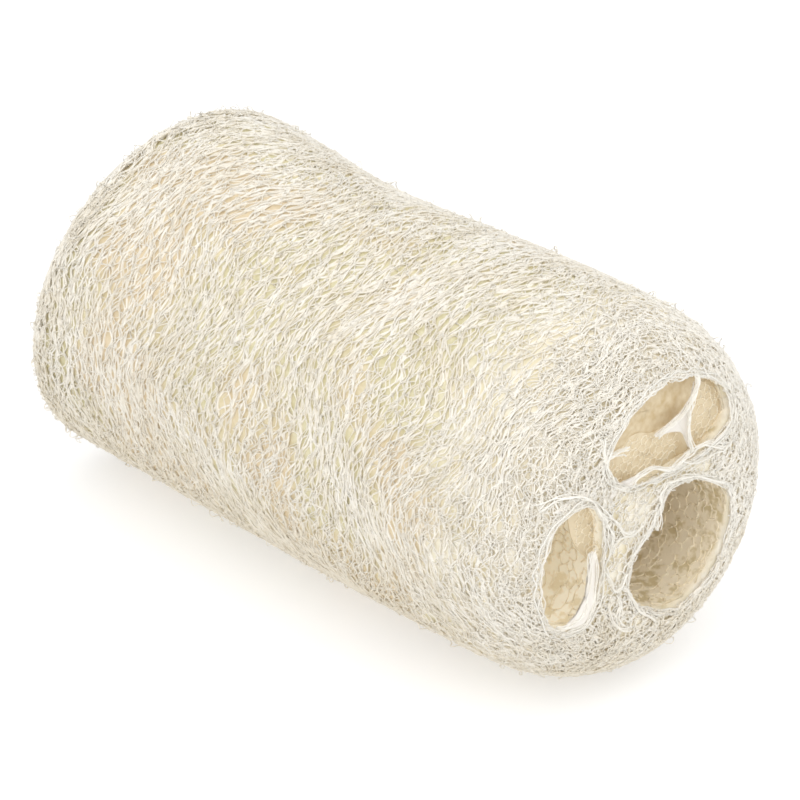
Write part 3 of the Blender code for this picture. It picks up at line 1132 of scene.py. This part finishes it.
def lay_on(piece, places, lift):
    """Move places to the nearest points of a piece's surface, lifted a little off it."""
    corners = [vertex.co for vertex in piece.data.vertices]
    tree = BVHTree.FromPolygons(corners, [face.vertices for face in piece.data.polygons])
    laid = np.empty(places.shape)
    for at in np.ndindex(places.shape[:-1]):
        found, normal, _, _ = tree.find_nearest(Vector(places[at]))
        laid[at] = found + normal * lift
    return laid


def within(place, outline):
    """Which places are inside a closed outline: those with an odd number of its sides to their right."""
    inside = np.zeros(place.shape[:-1], bool)
    for corner, after in zip(outline, np.roll(outline, -1, 0)):
        crosses = (corner[1] > place[..., 1]) != (after[1] > place[..., 1])
        run, climb = after - corner
        reach = run * (place[..., 1] - corner[1]) / (climb + TINY) + corner[0]
        inside ^= crosses & (place[..., 0] < reach)
    return inside


def pocket_net(number, ground, corners):
    """A joined net laid on a tan skin."""
    outline = closed_path(corners, POCKET_STEPS)
    width = np.ptp(outline, axis=0).max() * SPARE_WIDTH
    points = scatter(width, width, POCKET_CELL, POCKET_CELL) - width / 2
    place, sunk, thickness = net_strands(points, 1.0, POCKET_DEPTH, POCKET_RADIUS, steps=4)
    place = place + (outline.max(axis=0) + outline.min(axis=0)) / 2
    lines = on_end("near", place[..., 0], place[..., 1] + AXIS_HEIGHT, sunk)
    lines = lay_on(ground, lines, POCKET_LIFT)
    normals = end_normals("near", lines)
    return tube_mesh(f"pocket_net_{number}", lines, normals, thickness, keep=within(place, outline))


pocket_nets = []
for number, (skin_number, corners) in enumerate(POCKETS):
    pocket_nets.append(pocket_net(number, tan_skins[skin_number], corners))

# %% [markdown]
# ## The mass behind the net
#
# Behind the net the strands are too dense to count. A closed mass of the solid's shape, a little smaller,
# stands in for them: its own material carries the finer fibres. Its two ends are cut back first, so that
# the curly fibres have air behind them. Remeshing with voxels then gives it even faces.

# %% Copy the solid, cut it back and remesh it
CORE_VOXEL = 1.8 * MM
SAME_VERTEX = 0.01 * MM
CUT_BACK = {"near": 0.9 * MM, "far": 1.0 * MM}


def vertex_values(mesh, name):
    """A vector of every vertex of the mesh, such as its place or its normal, as an array."""
    return np.array([getattr(vertex, name) for vertex in mesh.vertices])


def make_core():
    mesh = SPONGE.data.copy()
    core = bpy.data.objects.new("fibre_mass", mesh)
    bpy.context.scene.collection.objects.link(core)
    places = vertex_values(mesh, "co")
    for end, back_by in CUT_BACK.items():
        limit = on_end(end, places[:, 1], places[:, 2], np.full(len(places), back_by))[:, 0]
        beyond = (places[:, 0] - limit) * SIGN[end] > 0
        places[beyond, 0] = limit[beyond]
    mesh.vertices.foreach_set("co", places.astype(np.float32).reshape(-1))
    weld = core.modifiers.new("weld", "WELD")
    weld.merge_threshold = SAME_VERTEX
    remesh = core.modifiers.new("remesh", "REMESH")
    remesh.mode = "VOXEL"
    remesh.voxel_size = CORE_VOXEL
    evaluated = core.evaluated_get(bpy.context.evaluated_depsgraph_get())
    smooth = bpy.data.meshes.new_from_object(evaluated)
    core.modifiers.clear()
    core.data = smooth
    return core


core = make_core()
print("fibre mass:", triangles(core), "triangles")

# %% [markdown]
# Its outside is then sunk under the strands, less at the near rim, where the felt is closed, and the
# channel walls are moved back by half a millimetre. The mesh keeps, as the `tone` of each vertex, how much
# it belongs to a channel's wall: the material needs that.

# %% Sink the mass under the strands
CORE_DEPTH = 0.7 * MM
RIM_DEPTH = 0.42 * MM
RIM_START = 44 * MM  # the depth changes from here towards the near end
RIM_RAMP = 10 * MM
WALL_DEPTH = 0.45 * MM
INNER_RADIUS = 21 * MM  # a face nearer the axis than this can't be the outside
INNER_RAMP = 3 * MM
OUTWARD_GAIN = 3  # a face that looks a third of the way outward counts wholly as outside
ALONG_GAIN = 2
ALONG_START = 0.6  # with the gain: a face counts as an end's from 0.3 of the way towards the axis


def sink(core):
    mesh = core.data
    places = vertex_values(mesh, "co")
    normals = vertex_values(mesh, "normal")
    out = np.hypot(places[:, 1], places[:, 2] - AXIS_HEIGHT)
    outward = (normals[:, 1] * places[:, 1] + normals[:, 2] * (places[:, 2] - AXIS_HEIGHT)) / out
    on_outside = np.clip((out - INNER_RADIUS) / INNER_RAMP, 0, 1) * np.clip(outward * OUTWARD_GAIN, 0, 1)
    on_end_face = np.clip(np.abs(normals[:, 0]) * ALONG_GAIN - ALONG_START, 0, 1)
    wall = np.clip(1 - on_outside - on_end_face, 0, 1)
    at_rim = np.clip((places[:, 0] - RIM_START) / RIM_RAMP, 0, 1)
    skin_depth = CORE_DEPTH + (RIM_DEPTH - CORE_DEPTH) * at_rim
    places -= normals * (on_outside * skin_depth + wall * WALL_DEPTH)[:, None]
    mesh.vertices.foreach_set("co", places.astype(np.float32).reshape(-1))
    mesh.attributes.new("tone", "FLOAT", "POINT").data.foreach_set("value", wall.astype(np.float32))
    mesh.update()
    mesh.shade_smooth()
    return wall


wall_share = sink(core)
print(f"{wall_share.mean():.0%} of the mass belongs to the channel walls")

# %% [markdown]
# ## The nets inside the channels
#
# The walls of the channels have a net of their own, with thicker and browner strands than the outer one
# and cells a little longer round the channel than along it. About one strand in five has torn away. Only
# the part near each end can be seen, so only that part is made.

# %% Line the channels
MISSING_SHARE = 0.22
WALL_STRETCH = 1.3
WALL_NET_DEPTH = (0.1 * MM, 0.4 * MM)
WALL_LIFT = 0.05 * MM
BEHIND_CUT = 1.5 * MM  # where the net starts, from the end of the sponge


def wall_net(end, visible, cell, radius):
    """Joined nets that stand just off the channel walls, from the cut end inward."""
    first = CAD_HIGH.x - BEHIND_CUT if end == "near" else CAD_LOW.x + BEHIND_CUT
    lines, normals, radii = [], [], []
    for channel in CHANNELS.values():
        girth = 2 * math.pi * channel["walls"].mean()
        points = scatter(visible, girth, cell, cell * WALL_STRETCH)
        place, inward, thickness = net_strands(points, WALL_STRETCH, WALL_NET_DEPTH, radius, around=girth)
        whole = RANDOM.uniform(0, 1, len(place)) > MISSING_SHARE
        place, inward, thickness = place[whole], inward[whole], thickness[whole]
        turn = place[..., 1] / girth * 2 * math.pi
        on_wall = wall_place(channel, first - SIGN[end] * place[..., 0], turn, inward)
        lines.append(lay_on(core, on_wall, WALL_LIFT))
        normals.append(-np.stack([np.zeros(turn.shape), np.cos(turn), np.sin(turn)], -1))
        radii.append(thickness)
    lines, normals, radii = (np.concatenate(group) for group in (lines, normals, radii))
    return tube_mesh(f"wall_net_{end}", lines, normals, radii)


wall_nets = [
    wall_net("near", 20 * MM, 1.9 * MM, 0.14 * MM),
    wall_net("far", 10 * MM, 2.6 * MM, 0.16 * MM),
]

# %% [markdown]
# ## The fuzz
#
# A loofah's outline is never clean: torn ends and slack loops stand out of the skin everywhere. They are
# short curls whose middles rise about a millimetre, over the barrel and over both rims.

# %% Let short fibres stand out of the skin
SHALLOW = (0.1, 0.3)
fuzz = [
    curls("barrel_fuzz", "barrel", 350, (28, 36), 8, SHALLOW, 0.09, bend=0.9, follow=0, rise=1.4),
    curls("far_rim_fuzz", "far", 330, (28, 41), 6, SHALLOW, 0.1, bend=0.9, follow=0, rise=1.3),
    curls("rim_fuzz", "near", 110, (25, 48), 8, SHALLOW, 0.09, bend=0.9, follow=0, rise=1.2),
]

# %% [markdown]
# ## The fibre's finish
#
# Bleached loofah is nearly pure cellulose: a dull cream with hardly any shine. Light that gets between the
# strands meets fibre many times, and each meeting takes out some blue, so the gaps look tan. A few small
# helpers come first: one turns an sRGB hex value into the linear colour that a shader takes, and one adds
# a node of any kind with its settings and links.

# %% Set up materials


def linear(hex_colour):
    values = [int(hex_colour[k : k + 2], 16) / 255 for k in (1, 3, 5)]
    return [v / 12.92 if v <= 0.04045 else ((v + 0.055) / 1.055) ** 2.4 for v in values] + [1.0]


def add_node(tree, kind, settings=None, stops=(), **links):
    """Add a node. settings sets its own values, stops are a ramp's (position, hex colour) pairs, and links
    gives its inputs values or other nodes' outputs, by name or, as in input6, by number."""
    node = tree.nodes.new(kind)
    for name, value in (settings or {}).items():
        setattr(node, name, value)
    for number, (position, colour) in enumerate(stops):
        node.color_ramp.elements[number].position = position
        node.color_ramp.elements[number].color = linear(colour)
    for name, value in links.items():
        socket = node.inputs[int(name[5:]) if name.startswith("input") else name.replace("_", " ")]
        if isinstance(value, bpy.types.NodeSocket):
            tree.links.new(value, socket)
        else:
            socket.default_value = value
    return node


def start_material(name, roughness):
    """A new material. Cellulose bends light by 1.5, and dry fibre scatters it widely."""
    material = bpy.data.materials.new(name)
    material.use_nodes = True
    tree = material.node_tree
    shader = tree.nodes["Principled BSDF"]
    shader.inputs["Roughness"].default_value = roughness
    shader.inputs["IOR"].default_value = 1.5
    return material, tree, shader


MULTIPLY = {"operation": "MULTIPLY"}
MULTIPLY_ADD = {"operation": "MULTIPLY_ADD"}
MIX_COLOURS = {"data_type": "RGBA"}
print("dry fibre: roughness 0.6 to 0.8")

# %% [markdown]
# Two things change slowly over the whole sponge. The near end is painted whiter, which is painted light, and
# the underside is painted browner and darker, which is painted shade. Both are read from the place on the
# object, in metres, so they look the same from any side.

# %% Find the near end and the underside


def near_end_painted_light(tree, place):
    """Painted light: 0 along the barrel, rising to 1 at the near end."""
    along = add_node(tree, "ShaderNodeSeparateXYZ", Vector=place).outputs["X"]
    share = add_node(tree, "ShaderNodeMapRange", Value=along, From_Min=36 * MM, From_Max=56 * MM)
    return share.outputs[0]


def underside_painted_shade(tree, place):
    """Painted shade: 0 in the upper half, rising to 1 close above the table."""
    height = add_node(tree, "ShaderNodeSeparateXYZ", Vector=place).outputs["Z"]
    share = add_node(tree, "ShaderNodeMapRange", Value=height, From_Min=34 * MM, From_Max=6 * MM)
    return share.outputs[0]


print("the near end turns white from 36 to 56 mm along, the underside brown from 34 to 6 mm up")

# %% [markdown]
# A fibre's colour lies between a deep and a pale one. What picks it is a sum: the strand's own tone, a
# cloudy pattern that gives lighter and darker patches, and the two slow changes, which are painted light and
# painted shade. The eye gets strands that differ a little from their neighbours, in patches that differ a
# little from theirs.

# %% Make the fibre material
# A noise's scale is how many of its patches lie along a metre.
FIBRE_PATCHES = 3 / (25 * MM)  # three patches of lighter and darker fibre in 25 mm
SEPTUM_MOTTLE = 7 / (10 * MM)  # seven veins of a dried partition in 10 mm
WHITE_SEPTUM_MOTTLE = 4 / (10 * MM)  # four spots in 10 mm


def fibre_material(name, pale, deep, roughness, scale=FIBRE_PATCHES):
    material, tree, shader = start_material(name, roughness)
    place = add_node(tree, "ShaderNodeTexCoord").outputs["Object"]
    patches = add_node(tree, "ShaderNodeTexNoise", Vector=place, Scale=scale, Detail=3.0)
    share = patches.outputs["Fac"]
    tone = add_node(tree, "ShaderNodeAttribute", {"attribute_name": "tone"}).outputs["Fac"]
    # The near end's whitening here is painted light, and the underside's darkening is painted shade.
    changes = [(tone, 0.5), (near_end_painted_light(tree, place), 0.3), (underside_painted_shade(tree, place), -0.7)]
    for change, weight in changes:
        added = add_node(tree, "ShaderNodeMath", MULTIPLY_ADD, input0=change, input1=weight, input2=share)
        share = added.outputs[0]
    colour = add_node(tree, "ShaderNodeValToRGB", stops=((0.3, deep), (1.0, pale)), Fac=share)
    tree.links.new(colour.outputs["Color"], shader.inputs["Base Color"])
    return material


# Bleached outer fibre: cream, with a slightly yellow deep tone.
FIBRE = fibre_material("bleached_loofah_fibre", "#FAF6ED", "#EFE7D6", 0.6)
# Fibre on the channel walls and the tan skins: less bleached, so it is a warm straw colour.
INNER = fibre_material("inner_loofah_fibre", "#F5EAD2", "#E8DABA", 0.7)
# Dried partition of the fruit: mottled tan, like parchment.
SEPTUM = fibre_material("tan_septum", "#DBCBAC", "#B4965E", 0.7, SEPTUM_MOTTLE)
# The same where it is stretched thin over a cord: nearly white, with faint spots.
WHITE_SEPTUM = fibre_material("white_septum", "#E9E4DC", "#D9D0C0", 0.6, WHITE_SEPTUM_MOTTLE)
# Cords and mouth edges: the densest fibre, which is the whitest.
WHITE = fibre_material("white_loofah_fibre", "#F5F2EA", "#EEE8DC", 0.6)
print("fibre materials:", [m.name for m in (FIBRE, INNER, SEPTUM, WHITE_SEPTUM, WHITE)])

# %% [markdown]
# A real channel is lit a little through its thin wall. The tubes don't let light through, so the fibres in
# the channels have a faint glow of their own instead, and so does the wall of the left channel below.

# %% Let the channels glow faintly
FIBRE_GLOW = 0.07
inner_shader = INNER.node_tree.nodes["Principled BSDF"]
inner_shader.inputs["Emission Color"].default_value = linear("#F4EEE0")
inner_shader.inputs["Emission Strength"].default_value = FIBRE_GLOW
print("glow of the inner fibres:", FIBRE_GLOW)

# %% [markdown]
# The mass shows in three places, each with its own colours. In the gaps of the barrel it is an olive tan
# that drifts to a browner one: partly the deeper fibre's own colour, partly painted shade in the gaps.
# Behind the cut ends it is a pale felt, painted paler still towards the near end as painted light. In the
# channels it is a tan wall with darker pits, which are painted shade of small holes, and it is painted paler
# on the left, which is painted light. The noise is drawn coarser than real fibres, which are a tenth of a
# millimetre apart, so that it shows in the picture.

# %% Colour the three parts of the mass
GRAIN = 9 / (10 * MM)  # nine bundles of fibre in 10 mm
HOLLOWS = 33 / (100 * MM)  # a pit between the strands of a wall every 3 mm
CLUSTERS = 3 / (20 * MM)  # three tufts of the felt in 20 mm
DRIFT = 9 / (200 * MM)  # the gaps change colour every 22 mm
PIT_STOPS = (0.8, 1.0)


def barrel_colour(tree, place, grain):
    """Olive tan in the gaps between the hoops, partly the deeper fibre's colour and partly painted shade,
    drifting slowly to a browner tan.
    """
    stops = ((0.35, "#CFC79F"), (0.65, "#DFD8BA"))
    olive = add_node(tree, "ShaderNodeValToRGB", stops=stops, Fac=grain)
    drift = add_node(tree, "ShaderNodeTexNoise", Vector=place, Scale=DRIFT, Detail=1.0).outputs["Fac"]
    share = add_node(tree, "ShaderNodeMapRange", Value=drift, From_Min=0.48, From_Max=0.62, To_Max=0.65)
    browner = add_node(
        tree, "ShaderNodeMix", MIX_COLOURS,
        Factor=share.outputs[0], input6=olive.outputs["Color"], input7=linear("#E2CDB0"),
    )
    return browner.outputs[2]


def outside_colour(tree, place, grain):
    """The barrel's colour, passing to pale felt on every face that looks along X, and at the near end as
    painted light.
    """
    clusters = add_node(tree, "ShaderNodeTexNoise", Vector=place, Scale=CLUSTERS, Detail=1.0)
    stops = ((0.4, "#ECE3C9"), (0.6, "#F8F3E6"))
    felt = add_node(tree, "ShaderNodeValToRGB", stops=stops, Fac=clusters.outputs["Fac"])
    normal = add_node(tree, "ShaderNodeTexCoord").outputs["Normal"]
    facing = add_node(tree, "ShaderNodeSeparateXYZ", Vector=normal).outputs["X"]
    along = add_node(tree, "ShaderNodeMath", {"operation": "ABSOLUTE"}, input0=facing).outputs[0]
    on_cut = add_node(tree, "ShaderNodeMapRange", Value=along, From_Min=0.4, From_Max=0.7).outputs[0]
    near_end = near_end_painted_light(tree, place)
    pale_part = add_node(tree, "ShaderNodeMath", {"operation": "MAXIMUM"}, input0=near_end, input1=on_cut)
    outside = add_node(
        tree, "ShaderNodeMix", MIX_COLOURS, Factor=pale_part.outputs[0],
        input6=barrel_colour(tree, place, grain), input7=felt.outputs["Color"],
    )
    return outside.outputs[2]


def wall_colour(tree, pits, left_wall_painted_light):
    """Tan walls with darker pits, painted as the shade of small holes, and painted paler on the left, as
    painted light for light through the thin wall towards the skin.
    """
    colours = []
    for deep, pale in (("#CCBD98", "#EADFC8"), ("#E6D9BA", "#FBF5E6")):
        ramp = add_node(tree, "ShaderNodeValToRGB", stops=tuple(zip(PIT_STOPS, (deep, pale))), Fac=pits)
        colours.append(ramp.outputs["Color"])
    walls = add_node(
        tree, "ShaderNodeMix", MIX_COLOURS, Factor=left_wall_painted_light, input6=colours[0], input7=colours[1],
    )
    return walls.outputs[2]


sizes = [round(1 / scale / MM, 1) for scale in (GRAIN, HOLLOWS, CLUSTERS, DRIFT)]
print("patterns of the mass, in mm:", sizes)

# %% [markdown]
# The parts are put together by the `tone` that the mass got when it was sunk: 0 on the outside, 1 on a
# channel's wall. Bumps of a third of a millimetre, from the same grain and pits as the colour, break up
# the light on it.

# %% Put the mass's material together
MASS_GLOW = 0.08
BUMP_HEIGHT = 0.3 * MM
BUMP_STRENGTH = 0.5


def mass_material():
    material, tree, shader = start_material("loofah_mass", 0.8)
    place = add_node(tree, "ShaderNodeTexCoord").outputs["Object"]
    grain = add_node(tree, "ShaderNodeTexNoise", Vector=place, Scale=GRAIN, Detail=2.0).outputs["Fac"]
    hollows = add_node(tree, "ShaderNodeTexNoise", Vector=place, Scale=HOLLOWS, Detail=1.0).outputs["Fac"]
    pits = add_node(tree, "ShaderNodeMath", {"operation": "ADD"}, input0=hollows, input1=grain).outputs[0]
    across = add_node(tree, "ShaderNodeSeparateXYZ", Vector=place).outputs
    left_wall_painted_light = add_node(tree, "ShaderNodeMapRange", Value=across["Y"], From_Min=-8 * MM, From_Max=-12 * MM)
    left_wall_painted_light = left_wall_painted_light.outputs[0]
    wall = add_node(tree, "ShaderNodeAttribute", {"attribute_name": "tone"}).outputs["Fac"]
    colour = add_node(
        tree, "ShaderNodeMix", MIX_COLOURS, Factor=wall,
        input6=outside_colour(tree, place, grain), input7=wall_colour(tree, pits, left_wall_painted_light),
    )
    tree.links.new(colour.outputs[2], shader.inputs["Base Color"])

    # A faint glow on the wall of the left channel, rising towards the near end: painted light, for light
    # that comes through the thin wall.
    share = add_node(tree, "ShaderNodeMapRange", Value=across["X"], From_Min=-20 * MM, From_Max=30 * MM)
    share = share.outputs[0]
    for part in (left_wall_painted_light, wall):
        share = add_node(tree, "ShaderNodeMath", MULTIPLY, input0=share, input1=part).outputs[0]
    glow = add_node(tree, "ShaderNodeValToRGB", stops=((0.0, "#000000"), (1.0, "#E6ECE8")), Fac=share)
    tree.links.new(glow.outputs["Color"], shader.inputs["Emission Color"])
    shader.inputs["Emission Strength"].default_value = MASS_GLOW

    bump = add_node(tree, "ShaderNodeBump", Strength=BUMP_STRENGTH, Distance=BUMP_HEIGHT, Height=pits)
    tree.links.new(bump.outputs["Normal"], shader.inputs["Normal"])
    return material


MASS = mass_material()
print("mass material:", len(MASS.node_tree.nodes), "nodes")

# %% [markdown]
# Last, each piece gets its material. The cords and mouth edges are the whitest, all other fibres outside
# the channels are bleached cream, and what lies in the channels is browner.

# %% Give every piece its material
FINISHES = [(FIBRE, nets + joined + fuzz), (WHITE_SEPTUM, white_skins), (SEPTUM, tan_skins)]
FINISHES.append((INNER, wall_nets + pocket_nets))
for piece in ends:
    FINISHES.append((WHITE if piece.name.startswith(("cords", "mouth")) else FIBRE, [piece]))
core.data.materials.clear()
FINISHES.append((MASS, [core]))
for material, pieces in FINISHES:
    for piece in pieces:
        piece.data.materials.append(material)
print(sum(len(pieces) for _, pieces in FINISHES), "pieces have a material")

# %% [markdown]
# ## Floor and light
#
# The photograph is high-key: white light from all sides, a white floor, and hardly any shade under the
# sponge. So the table is pale and glows a little itself, which keeps the shadow faint.

# %% Stage the sponge
FLOOR_HALF = 3.0
TABLE_GLOW = 0.45
floor_mesh = bpy.data.meshes.new("floor")
corners = [(x * FLOOR_HALF, y * FLOOR_HALF, 0) for x, y in ((-1, -1), (1, -1), (1, 1), (-1, 1))]
floor_mesh.from_pydata(corners, [], [(0, 1, 2, 3)])
floor = bpy.data.objects.new("floor", floor_mesh)
bpy.context.scene.collection.objects.link(floor)
table, _, table_shader = start_material("lit_table", 0.9)
table_shader.inputs["Base Color"].default_value = linear("#D0D0D0")
table_shader.inputs["Emission Color"].default_value = linear("#FFFFFF")
table_shader.inputs["Emission Strength"].default_value = TABLE_GLOW
floor_mesh.materials.append(table)
print("the floor is", 2 * FLOOR_HALF, "m wide")

# %% [markdown]
# A white sky gives most of the light, and one large lamp above, in front and to the right gives the gentle
# shade that shows the roundness. The channels need many bounces of light before they are as bright as real
# ones, and a wide pixel filter gives the photograph's softness.

# %% Light it
SKY_STRENGTH = 0.92
KEY = {"place": (0.55, -0.5, 1.15), "size": 1.8, "power": 10.4}  # metres and watts

world = bpy.data.worlds.new("studio")
world.use_nodes = True
world.node_tree.nodes["Background"].inputs["Color"].default_value = linear("#FFFFFF")
world.node_tree.nodes["Background"].inputs["Strength"].default_value = SKY_STRENGTH
bpy.context.scene.world = world

light = bpy.data.lights.new("key", "AREA")
light.size = KEY["size"]
light.energy = KEY["power"]
lamp = bpy.data.objects.new("key", light)
lamp.location = KEY["place"]
lamp.rotation_euler = (Vector((0, 0, AXIS_HEIGHT)) - lamp.location).to_track_quat("-Z", "Y").to_euler()
bpy.context.scene.collection.objects.link(lamp)

bpy.context.scene.cycles.max_bounces = 16
bpy.context.scene.cycles.diffuse_bounces = 10
bpy.context.scene.cycles.filter_width = 1.8
bpy.context.scene.view_settings.view_transform = "Standard"
print("one soft light of", KEY["power"], "W, and a white sky at", SKY_STRENGTH)

# %% [markdown]
# ## Hand the pieces over
#
# The sponge grew as one piece, so every part of the picture model rides on the one body and stands for the
# one solid, which is hidden.

# %% Hand the pieces over
everything = [*nets, *joined, *ends, *fuzz, *white_skins, *tan_skins, *pocket_nets, *wall_nets, core]
for piece in everything:
    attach(piece, "root")
    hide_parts("loofah_sponge")
print(len(everything), "pieces,", sum(triangles(piece) for piece in everything), "triangles")
